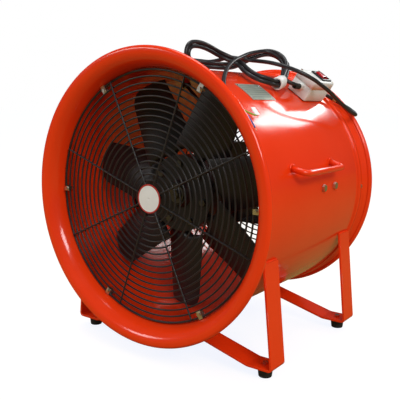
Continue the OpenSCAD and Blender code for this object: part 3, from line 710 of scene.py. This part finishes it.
# A strip of white label film is wound round the cord's bundle and holds its turns together.
film, *_ = marked_finish(
    "label_film", (0.84, 0.84, 0.83), (0.72, 0.72, 0.71), 0.38, 0.55, 60.0, 260.0, 0.35, 0.0012
)
wrap_from, wrap_to = np.array(right_loop[8:10]) / 1000
wrap_way = unit(wrap_to - wrap_from)
wrap_mid = (wrap_from + wrap_to) / 2
wrap_u = unit(np.cross(wrap_way, (0.2, 0.1, 1.0)))
wrap_v = np.cross(wrap_way, wrap_u)
wrap_sides = 64
wrap_rows = np.array([
    (-15, 9.9), (-15, 11.9), (-14.6, 12.8), (-10, 13.3), (-5, 13), (0, 12.7), (5, 13), (10, 13.2),
    (14.6, 12.6), (15, 11.8), (15, 9.9), (14.6, 9.7), (5, 9.7), (-5, 9.7), (-14.6, 9.7),
]) / 1000
t, swell = wrap_rows.T[:, :, None, None]
a = np.linspace(0, 2 * np.pi, wrap_sides, endpoint=False)[None, :, None]
r = swell + 0.0005 * np.cos(3 * a) + 0.00022 * np.sin(7 * a + 300 * t)
wrap_points = wrap_mid + t * wrap_way + r * (np.cos(a) * wrap_u + np.sin(a) * wrap_v)
faces = grid_faces(len(wrap_rows), wrap_sides, around=True, along=True)
wrap = mesh_piece("cord_label_wrap", wrap_points, faces, film)
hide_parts("cord_wrap")


# The free end is stripped: blue, brown and yellow-green cores leave the jacket, each with a bare
# twisted copper tip, and a white card tag hangs on the yellow-green one.
def core_material(name, colour, stripe=None):
    """Gloss insulation of one colour, or with a lengthwise stripe on the run map."""
    material, shader, add, links = marked_finish(
        name, colour, tuple(c * 0.8 for c in colour), 0.25, 0.4, 80.0, 900.0, 0.1, 0.0002
    )
    if stripe:
        run_map = add("ShaderNodeUVMap", uv_map="run").outputs["UV"]
        run = add("ShaderNodeSeparateXYZ", {0: run_map})
        wave = add("ShaderNodeMath", {0: run.outputs["Y"], 1: 0.0050}, operation="MODULO")
        half = add("ShaderNodeMath", {0: wave.outputs[0], 1: 0.0025}, operation="GREATER_THAN")
        pair = mixed(add, half.outputs[0], colour, stripe)
        links.new(pair, shader.inputs["Base Color"])
    return material


copper = worn_metal("bare_copper", (0.80, 0.40, 0.22), (0.60, 0.28, 0.15), 0.25, 0.4)
blue = core_material("blue_core", (0.03, 0.09, 0.42))
brown = core_material("brown_core", (0.13, 0.045, 0.018))
earth = core_material("earth_core", (0.62, 0.62, 0.04), (0.05, 0.33, 0.06))
core_routes = {
    "blue": (blue, [(197, -192, 500), (208, -192, 489), (217, -190, 476), (223, -188, 465)]),
    "brown": (brown, [(193, -199, 502), (205, -203, 489), (215, -202, 475), (224, -199, 460)]),
    "green": (earth, [(199, -191, 500), (204, -182, 495), (207, -171, 492), (209, -162, 490)]),
}
core_pieces, bare_steps = [], 8
for colour, (material, route) in core_routes.items():
    path = smooth_path(route, 0.0008)
    cut = len(path) - bare_steps
    insulation = tube_piece(f"core_{colour}", path[:cut], 0.0016, 12, material)
    bare = tube_piece(f"core_{colour}_tip", path[cut - 1 :], 0.0011, 10, copper)
    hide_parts("mains_cores")
    core_pieces += [insulation, bare]

tag_turn = math.radians(40.5)
tag_out = np.array([math.cos(tag_turn), 0, math.sin(tag_turn)])
tag_down = np.array([math.sin(tag_turn), 0, -math.cos(tag_turn)])
tag_outline = rounded_outline(0.018, 0.015, 0.0025, 5)
tag_layers = np.array(
    [(0.2, 0.0), (0.96, 0.0), (1.0, 0.0002), (1.0, 0.0006), (0.96, 0.0008), (0.2, 0.0008)]
)
flat_tag = tag_outline[None] * tag_layers[:, :1, None]
lift = tube_r + 0.006 + tag_layers[:, 1, None] + 18 * flat_tag[..., 0] ** 2
tag_points = (
    (flat_tag[..., 0] - 0.001)[..., None] * tag_down
    + (flat_tag[..., 1] + front_y + 0.098)[..., None] * np.array([0, 1, 0])
    + lift[..., None] * tag_out
    + np.array([0, 0, axis_z])
)
rows, columns = flat_tag.shape[:2]
faces = tube_faces(rows, columns)
tag = mesh_piece("cord_card_tag", tag_points, faces, film)
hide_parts("cord_tag")


# The switch box is a light grey moulded base with a deeper lid over its edge, both with rounded
# corners, held by four small screws.
def inset_rows(width, length, rows):
    """Rows of a moulding from its full width and length and (inset, corner, height) of each row."""
    return [(width - 2 * inset, length - 2 * inset, corner, z, 0) for inset, corner, z in rows]


def moulded_piece(name, layers, shift, material, closed=False):
    """A moulding on the box's frame: rounded rectangles (width, length, corner, height, and a move
    along the body), one for each row. Closed joins the last row to the first."""
    points = []
    for width, length, corner, height, move in layers:
        outline = rounded_outline(width, length, corner) + (0, move)
        points.append(np.insert(outline, 2, height, axis=1))
    points = np.stack(points) + np.array(shift)
    rows, columns = points.shape[:2]
    faces = grid_faces(rows, columns, around=True, along=closed)
    if not closed:
        faces += end_faces(rows, columns)
    return mesh_piece(name, on_box(points), faces, material)


base_rows = inset_rows(box_w, box_l, [
    (0.0014, 0.0030, 0.0), (0.0003, 0.0036, 0.0005), (0.0, 0.0040, 0.0014),
    (0.0, 0.0040, base_h - 0.0006), (0.0006, 0.0036, base_h), (0.0025, 0.0030, base_h),
    (0.0025, 0.0030, 0.0030),
])
box_base = moulded_piece("switch_box_base", base_rows, (0, 0, 0), cream)
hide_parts("switch_box")

bezel_y = 0.018
lid_w, lid_l = box_w + 0.0015, box_l + 0.0015
lid_rows = inset_rows(lid_w, lid_l, [
    (0.0034, 0.0030, 0.0002), (0.0010, 0.0040, 0.0), (0.0, 0.0045, 0.0007),
    (0.0004, 0.0045, lid_h - 0.0040), (0.0009, 0.0042, lid_h - 0.0022),
    (0.0020, 0.0038, lid_h - 0.0008), (0.0034, 0.0030, lid_h),
])
lid_rows += [
    (0.0222, 0.0302, 0.0006, lid_h, bezel_y),
    (0.0220, 0.0300, 0.0006, lid_h - 0.0002, bezel_y),
    (0.0220, 0.0300, 0.0006, lid_h - 0.0025, bezel_y),
    (lid_w - 0.0080, lid_l - 0.0080, 0.0030, lid_h - 0.0025, 0),
    (lid_w - 0.0068, lid_l - 0.0068, 0.0030, lid_h - 0.0034, 0),
]
lid = moulded_piece("switch_box_cover", lid_rows, (0, 0, base_h), cream, closed=True)
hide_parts("switch_box_lid")

# The rocker switch is a red rocker in a black frame, snapped into the lid.
frame_at = (0, bezel_y, base_h + lid_h)
bezel_rows = inset_rows(0.0360, 0.0440, [
    (0.0, 0.0030, 0.0), (0.0, 0.0030, 0.0014), (0.0006, 0.0028, 0.0024), (0.0018, 0.0024, 0.0030),
    (0.0062, 0.0016, 0.0030), (0.0070, 0.0012, 0.0024), (0.0072, 0.0010, -0.0060),
    (0.0076, 0.0010, -0.0070), (0.0072, 0.0012, -0.0270), (0.0071, 0.0012, -0.0280),
    (0.00705, 0.0012, 0.0),
])
bezel = moulded_piece("switch_frame", bezel_rows, frame_at, moulded, closed=True)
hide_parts("switch_body")
rocker_red, rocker_shader, *_ = marked_finish(
    "rocker_plastic", (0.60, 0.012, 0.020), (0.48, 0.008, 0.014), 0.18, 0.3, 60, 900, 0.06, 0.0002
)
rocker_shader.inputs["Coat Weight"].default_value = 0.5
half_len, half_wid = 0.0135, 0.0100
side = np.array([-1, -1, -0.96, -0.9, -0.5, 0, 0.5, 0.9, 0.96, 1, 1]) * half_wid
edge_drop = np.array([0, 1, 0.35, 0.05, 0, 0, 0, 0.05, 0.35, 1, 0])
run = np.linspace(-1, 1, 33)
crown = 0.0055 - 0.0020 * np.abs(run) ** 1.15
top = np.stack([np.clip(run * half_len * 1.001, -half_len, half_len), crown], axis=1)
skirt = np.array([(1, 0.0015), (0.98, -0.003), (-0.98, -0.003), (-1, 0.0015)]) * (half_len, 1)
outline = np.vstack([top, skirt])
x = side[:, None] + 0 * outline[None, :, 0]
y = outline[None, :, 0] + 0 * side[:, None]
z = outline[None, :, 1] - 0.0007 * edge_drop[:, None] * (outline[None, :, 1] > 0.003)
rest_tilt = math.radians(-8)
rocker_points = np.stack(
    [
        x,
        y * math.cos(rest_tilt) - z * math.sin(rest_tilt) + frame_at[1],
        y * math.sin(rest_tilt) + z * math.cos(rest_tilt) + frame_at[2] + 0.001,
    ],
    axis=-1,
)
rows, columns = rocker_points.shape[:2]
faces = tube_faces(rows, columns)
on_lid = on_box(rocker_points)
rocker = mesh_piece("switch_rocker", on_lid, faces, rocker_red, "rocker")
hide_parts("rocker")


# The nameplate is a thin aluminium sheet printed pale green, with blank ruled rows, and riveted to
# the casing at its corners.
plate_low, plate_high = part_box("nameplate")
plate_start, plate_end = plate_low[1] - front_y, plate_high[1] - front_y
plate_mid = math.radians(54.5)
plate_half = 0.026 / (tube_r + 0.0012)
plate_rows, plate_columns = 17, 25
plate_points = plate_rows * plate_columns
plate_print, plate_shader, add_plate, plate_links = marked_finish(
    "plate_print", (0.50, 0.56, 0.47), (0.42, 0.47, 0.40), 0.30, 0.45, 45.0, 1100.0, 0.08, 0.0002
)
plate_shader.inputs["Metallic"].default_value = 0.55
plate_uv = add_plate("ShaderNodeUVMap", uv_map="run").outputs["UV"]
rule_uv = add_plate("ShaderNodeSeparateXYZ", {0: plate_uv})


def plate_math(operation, first, second):
    """A math node's result from two sockets or numbers."""
    return add_plate("ShaderNodeMath", {0: first, 1: second}, operation=operation).outputs[0]


def between(value, low, high):
    """1 where a socket's value lies between two limits."""
    above, below = plate_math("GREATER_THAN", value, low), plate_math("LESS_THAN", value, high)
    return plate_math("MULTIPLY", above, below)


row_wave = plate_math("MODULO", rule_uv.outputs["Y"], 0.14)
field = plate_math(
    "MULTIPLY", between(rule_uv.outputs["X"], 0.06, 0.94), between(rule_uv.outputs["Y"], 0.08, 0.92)
)
rules = plate_math("MULTIPLY", between(row_wave, 0.0, 0.028), field)
plate_tint = plate_shader.inputs["Base Color"].links[0].from_socket
inked = mixed(add_plate, rules, plate_tint, (0.20, 0.26, 0.24))
plate_links.new(inked, plate_shader.inputs["Base Color"])
t = np.linspace(0, 1, plate_columns)
u = np.linspace(0, 1, plate_rows)
place, turn = np.meshgrid(
    plate_start + (plate_end - plate_start) * t, plate_mid - plate_half + 2 * plate_half * u
)
top = around_axis(tube_r + 0.0012, place, turn)
under = around_axis(tube_r + 0.0002, place, turn)
skin = grid_faces(plate_rows, plate_columns)
skin += [face[::-1] for face in grid_faces(plate_rows, plate_columns, first=plate_points)]
rim = [*range(plate_columns), *range(2 * plate_columns - 1, plate_points, plate_columns)]
rim += range(plate_points - 2, plate_points - plate_columns - 1, -1)
rim += range(plate_points - 2 * plate_columns, 0, -plate_columns)
for here, there in zip(rim, rim[1:] + rim[:1]):
    skin.append([here, there, there + plate_points, here + plate_points])
both = np.concatenate([top, under])
plate = mesh_piece("rating_plate", both, skin, plate_print, smooth=False)
corner_of = np.empty(len(plate.data.loops), int)
plate.data.loops.foreach_get("vertex_index", corner_of)
row, column = np.divmod(corner_of % plate_points, plate_columns)
uv = plate.data.uv_layers.new(name="run")
plate_map = np.stack([column / (plate_columns - 1), row / (plate_rows - 1)], axis=1)
uv.data.foreach_set("uv", plate_map.ravel())
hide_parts("nameplate")


# Each side handle is a round steel bar bent in at both ends, welded to the casing and painted with
# it. A ring of weld metal lies round each foot.
handle_wire, handle_bend, handle_reach = 0.006, 0.014, tube_r + 0.030
handle_depth = (0.150, 0.313)
handle_angle, handle_foot_angle = math.radians(11.8), math.radians(15.2)
ring_steps, bead_steps = 72, 10


def weld_ring(middle, direction, radius, thickness, seed):
    """A lumpy ring R + w cos b round a bar, with ripples cos 14a and a few softer swells."""
    d = unit(direction)
    u = unit(np.cross(d, (0, 0.2, 1)))
    v = np.cross(d, u)
    a = np.linspace(0, 2 * np.pi, ring_steps, endpoint=False)[:, None, None]
    b = np.linspace(0, 2 * np.pi, bead_steps, endpoint=False)[None, :, None]
    w = thickness * (1 + 0.13 * np.cos(14 * a + seed) + 0.10 * np.sin(3 * a + 2 * seed))
    out = np.cos(a) * u + np.sin(a) * v
    return middle + (radius + w * np.cos(b)) * out + w * np.sin(b) * d


for side_name, hand in (("right", 1), ("left", -1)):
    mirror = np.array([hand, 1, 1])
    ends = [around_axis(handle_reach, d, handle_angle) * mirror for d in handle_depth]
    feet = [around_axis(tube_r - 0.0006, d, handle_foot_angle) * mirror for d in handle_depth]
    way = unit(ends[1] - ends[0])
    q = np.linspace(0, np.pi / 2, 12)[:, None]
    path = [feet[0][None]]
    for end, foot, along in ((ends[0], feet[0], way), (ends[1], feet[1], -way)):
        outward = unit(end - foot)
        bend = end + handle_bend * ((1 - np.sin(q)) * along - (1 - np.cos(q)) * outward)
        path.append(bend[::-1] if along is way else bend)
    path = np.vstack([*path, feet[1][None]])
    handle = tube_piece(f"lift_handle_{side_name}", path, handle_wire, 20, enamel)
    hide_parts(f"side_handle_{side_name}")
    for k in (0, 1):
        outward = ends[k] - feet[k]
        middle = feet[k] + 0.0012 * outward / 0.03
        ring_points = weld_ring(middle, outward, 0.0066, 0.0022, 2 * k + hand)
        faces = grid_faces(ring_steps, bead_steps, around=True, along=True)
        name = f"handle_weld_{side_name}_{k + 1}"
        mesh_piece(name, ring_points, faces, enamel)


# Each stand is one painted flat steel bar, 50 by 5 mm, bent at the feet and at the middle, with
# rolled edges. It passes under the casing and its legs are welded to the casing's sides.
bar_w, bar_t, foot_h, foot_x = 0.050, 0.005, 0.020, 0.230
leg_top_z = 0.224
leg_top_x = math.sqrt(tube_r**2 - (axis_z - leg_top_z) ** 2) + bar_t / 2 + 0.0003
bar_z = foot_h + bar_t / 2


def rounded_corners(points, radii, steps=9):
    """A polyline whose corners are arcs of the given radii, tangent to both legs."""
    out = [points[0]]
    for before, here, after, radius in zip(points, points[1:], points[2:], radii):
        before, here, after = map(np.array, (before, here, after))
        a, b = unit(before - here), unit(after - here)
        half = np.arccos(np.clip(a @ b, -1, 1)) / 2
        centre = here + unit(a + b) * radius / np.sin(half)
        start, stop = here + a * radius / np.tan(half), here + b * radius / np.tan(half)
        t = np.linspace(0, 1, steps)[:, None]
        spread = np.pi - 2 * half
        p = np.sin((1 - t) * spread) * (start - centre) + np.sin(t * spread) * (stop - centre)
        out += list(centre + p / np.sin(spread))
    return np.array(out + [points[-1]])


half_bar = [
    (0.018, axis_z - tube_r - bar_t / 2 - 0.0002),
    (0.203, bar_z),
    (0.2560, bar_z),
    (leg_top_x, leg_top_z),
]
stand_line = [(-x, z) for x, z in half_bar[::-1]] + half_bar
stand_line = rounded_corners(stand_line, (0.006, 0.03, 0.05, 0.05, 0.03, 0.006))
section = rounded_outline(bar_w, bar_t, 0.0011, 4)
stand_depths = {"front": 0.099, "rear": 0.424}
for stand_name, depth in stand_depths.items():
    along = unit(np.gradient(stand_line, axis=0))
    normal = np.stack([-along[:, 1], along[:, 0]], axis=1)
    x = stand_line[:, 0, None] + section[None, :, 1] * normal[:, 0, None]
    z = stand_line[:, 1, None] + section[None, :, 1] * normal[:, 1, None]
    y = front_y + depth + section[None, :, 0] + 0 * x
    rows, columns = x.shape
    faces = tube_faces(rows, columns)
    points = np.stack([x, y, z], axis=-1)
    stand = mesh_piece(f"{stand_name}_stand_bar", points, faces, enamel)
    edges = stand.modifiers.new("even_shading", "WEIGHTED_NORMAL")
    edges.keep_sharp = False
    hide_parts(f"{stand_name}_stand")
    for hand in (1, -1):
        t = np.linspace(0, 1, 90)
        bead_y = front_y + depth + (t - 0.5) * (bar_w - 0.001)
        ripple = 0.14 * np.cos(2 * np.pi * 15 * t + hand) + 0.1 * np.sin(9 * t + depth * 40)
        faded = np.sqrt(np.clip(1 - (2 * np.abs(t - 0.5)) ** 14, 0.05, 1))
        bead_r = 0.0024 * (1 + ripple) * faded
        bead_x = np.full_like(t, hand * (leg_top_x - 0.0008))
        bead_z = leg_top_z + 0.0006 + 0.0003 * np.sin(20 * t)
        name = f"{stand_name}_stand_weld_{'right' if hand > 0 else 'left'}"
        path = np.stack([bead_x, bead_y, bead_z], axis=1)
        bead_piece = tube_piece(name, path, bead_r, 12, enamel)
        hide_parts("stand_welds")

# Four moulded rubber feet stand under the bars. Each is a tapered disc with a rounded lower edge,
# held by a zinc-plated bolt.
foot_profile = [
    (0.0004, 0.0), (0.0112, 0.0), (0.0123, 0.0003), (0.0129, 0.0012), (0.0132, 0.0030),
    (0.0146, 0.0165), (0.0149, 0.0186), (0.0147, 0.0196), (0.0140, 0.0200), (0.0004, 0.0200),
]
foot_places = [(hand, depth) for depth in stand_depths.values() for hand in (1, -1)]
for k, (hand, depth) in enumerate(foot_places):
    name, foot_at = f"rubber_foot_{k + 1}", (hand * foot_x, front_y + depth, 0.0)
    foot = lathe(name, foot_profile, foot_at, (0, 0, 1), rubber, sides=48)
    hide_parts("rubber_feet")

# The room: a pale floor that fades into a white sky, and soft lights. The long soft light behind
# the fan lays the bright band along the top of the casing.
floor = bpy.data.objects.new("floor", bpy.data.meshes.new("floor"))
floor.data.from_pydata([(-40, -40, 0), (40, -40, 0), (40, 40, 0), (-40, 40, 0)], [], [(0, 1, 2, 3)])
floor_paint, floor_shader, add_floor, floor_links = new_material("floor_paint")
floor_shader.inputs["Base Color"].default_value = (0.27, 0.19, 0.05, 1)
floor_shader.inputs["Roughness"].default_value = 0.8
floor_shader.inputs["Specular IOR Level"].default_value = 0.1
floor_glow = add_floor("ShaderNodeEmission", {"Color": (0.83, 0.88, 0.97, 1), "Strength": 1.0})
floor_sum = add_floor("ShaderNodeAddShader", {0: floor_shader.outputs[0], 1: floor_glow.outputs[0]})
floor_ray = add_floor("ShaderNodeLightPath").outputs["Is Camera Ray"]
floor_mix = add_floor(
    "ShaderNodeMixShader", {0: floor_ray, 1: floor_shader.outputs[0], 2: floor_sum.outputs[0]}
)
floor_out = floor_paint.node_tree.nodes["Material Output"]
floor_links.new(floor_mix.outputs[0], floor_out.inputs["Surface"])
floor.data.materials.append(floor_paint)
bpy.context.collection.objects.link(floor)

world = bpy.data.worlds.new("studio")
world.use_nodes = True
add_sky = node_adder(world.node_tree)
sky_ray = add_sky("ShaderNodeLightPath")
lighting_sky = world.node_tree.nodes["Background"]
shining_sky, seen_sky = add_sky("ShaderNodeBackground"), add_sky("ShaderNodeBackground")
for sky, strength in ((lighting_sky, 0.72), (shining_sky, 0.05), (seen_sky, 1.0)):
    sky.inputs["Color"].default_value = (1, 1, 1, 1)
    sky.inputs["Strength"].default_value = strength
sky = lighting_sky.outputs[0]
for ray, other in (("Is Glossy Ray", shining_sky), ("Is Camera Ray", seen_sky)):
    wires = {0: sky_ray.outputs[ray], 1: sky, 2: other.outputs[0]}
    sky = add_sky("ShaderNodeMixShader", wires).outputs[0]
world.node_tree.links.new(sky, world.node_tree.nodes["World Output"].inputs["Surface"])
bpy.context.scene.world = world
bpy.context.scene.view_settings.view_transform = "Standard"


def softbox(name, place, aim, width, height, power):
    """A rectangular area light at a place, pointed at a spot."""
    light = bpy.data.lights.new(name, "AREA")
    light.shape, light.size, light.size_y, light.energy = "RECTANGLE", width, height, power
    lamp = bpy.data.objects.new(name, light)
    bpy.context.collection.objects.link(lamp)
    lamp.location = place
    lamp.rotation_mode = "QUATERNION"
    lamp.rotation_quaternion = (Vector(aim) - Vector(place)).to_track_quat("-Z", "Y")
    lamp.visible_camera = False


softbox("back_softbox", (0.365, 1.94, 1.52), (0.19, 0.0, 0.49), 0.7, 0.32, 7)
softbox("key_softbox", (2.3, -1.3, 1.9), (0, 0, 0.3), 0.9, 0.9, 34)
softbox("fill_softbox", (-1.9, -2.1, 1.4), (0, 0, 0.3), 0.7, 0.7, 12)
softbox("top_softbox", (-0.3, 0.3, 3.2), (0, 0, 0), 1.4, 1.4, 26)
